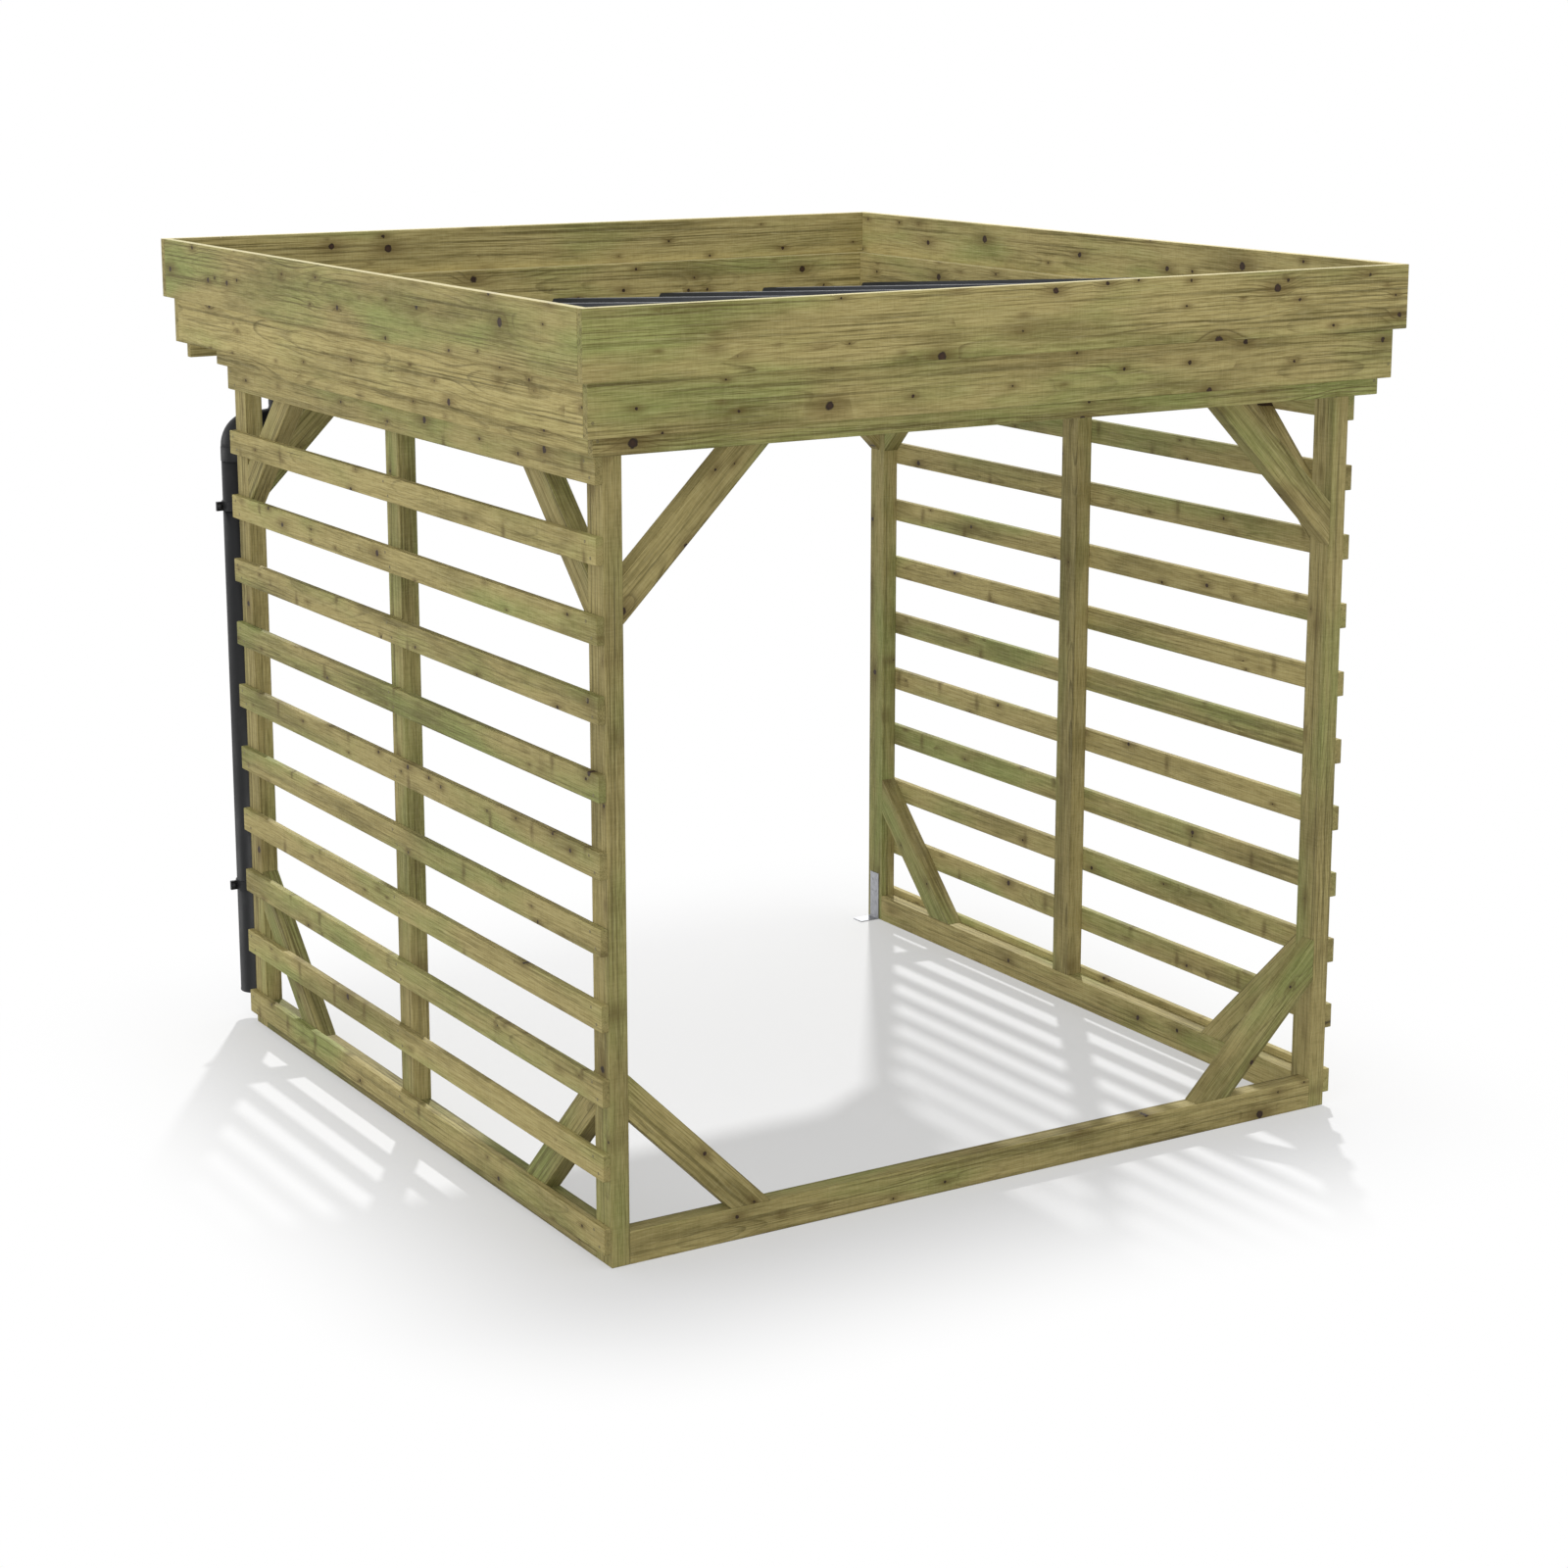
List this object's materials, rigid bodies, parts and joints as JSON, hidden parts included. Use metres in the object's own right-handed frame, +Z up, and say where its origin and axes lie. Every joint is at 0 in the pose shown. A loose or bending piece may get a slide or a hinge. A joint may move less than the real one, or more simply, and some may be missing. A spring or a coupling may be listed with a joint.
{
  "type": "log store",
  "caption": "Open timber log store with slatted sides, corner braces, a stepped board parapet and a ribbed steel roof draining to a rear gutter and downpipe.",
  "frame": {"origin": "on the ground under the middle of the overall box", "axes": "+X to the right seen from the front, +Y from the front to the back, +Z up"},
  "size_m": [2.18, 2.34, 2.075],
  "materials": {
    "frame_pine": "pressure treated sawn pine, green-brown",
    "slat_pine": "pressure treated sawn pine slats",
    "board_pine": "pressure treated planed pine boards",
    "roof_steel": "anthracite coated ribbed sheet",
    "drain_steel": "charcoal coated steel, satin",
    "galvanised": "hot dip galvanised"
  },
  "bodies": {
    "root": {"post_front_left": "frame_pine", "post_front_right": "frame_pine", "post_middle_left": "frame_pine", "post_middle_right": "frame_pine", "post_back_left": "frame_pine", "post_back_right": "frame_pine", "front_sill": "frame_pine", "left_sill": "frame_pine", "right_sill": "frame_pine", "left_rail": "frame_pine", "right_rail": "frame_pine", "front_beam": "frame_pine", "back_beam": "frame_pine", "purlins": "frame_pine", "left_slats": "slat_pine", "right_slats": "slat_pine", "front_upper_braces": "frame_pine", "front_lower_braces": "frame_pine", "left_upper_braces": "frame_pine", "left_lower_braces": "frame_pine", "right_upper_braces": "frame_pine", "right_lower_braces": "frame_pine", "back_upper_braces": "frame_pine", "upper_front_board": "board_pine", "upper_back_board": "board_pine", "upper_left_board": "board_pine", "upper_right_board": "board_pine", "middle_front_board": "board_pine", "middle_back_board": "board_pine", "middle_left_board": "board_pine", "middle_right_board": "board_pine", "lower_front_board": "board_pine", "lower_back_board": "board_pine", "lower_left_board": "board_pine", "lower_right_board": "board_pine", "front_packer": "board_pine", "side_packers": "board_pine", "roof_sheet": "roof_steel", "gutter": "drain_steel", "gutter_brackets": "galvanised", "downpipe": "drain_steel", "pipe_neck": "drain_steel", "pipe_clips": "drain_steel", "foot_brackets": "galvanised"}
  },
  "joints": []
}
